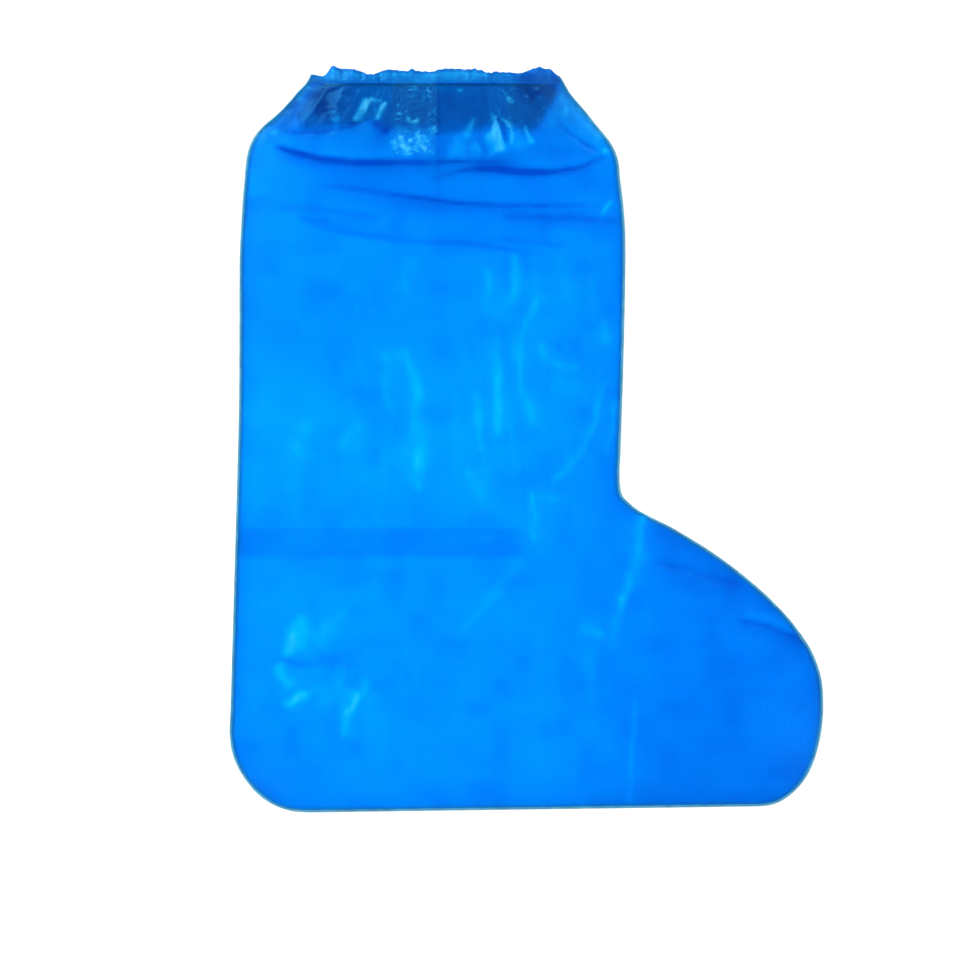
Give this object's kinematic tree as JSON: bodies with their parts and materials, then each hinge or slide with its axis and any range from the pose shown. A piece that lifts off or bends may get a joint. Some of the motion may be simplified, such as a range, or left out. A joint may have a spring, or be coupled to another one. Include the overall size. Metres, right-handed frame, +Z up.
{
  "type": "disposable boot cover",
  "caption": "Knee-high disposable shoe cover of thin blue film, lying flat: two boot-shaped sheets welded at the rim, with an elastic-gathered mouth and a short frill.",
  "frame": {"origin": "on the surface it lies on, under the middle of the laid-out cover", "axes": "+X from heel to toe, +Y from sole to mouth, +Z up from the surface"},
  "size_m": [0.396, 0.4968, 0.0221],
  "materials": {
    "blue_film": "thin see-through azure polyethylene film, smooth with soft creases",
    "welded_rim": "two sheets of film fused by heat into a narrow, slightly darker rim",
    "hem_film": "the same film turned in at the mouth, darker where the layers add up",
    "elastic": "narrow blue elastic strand, matt"
  },
  "bodies": {
    "root": {"lower_panel": "blue_film", "upper_panel": "blue_film", "edge_weld": "welded_rim", "hem_lower": "hem_film", "hem_upper": "hem_film", "elastic_band": "elastic"}
  },
  "joints": []
}
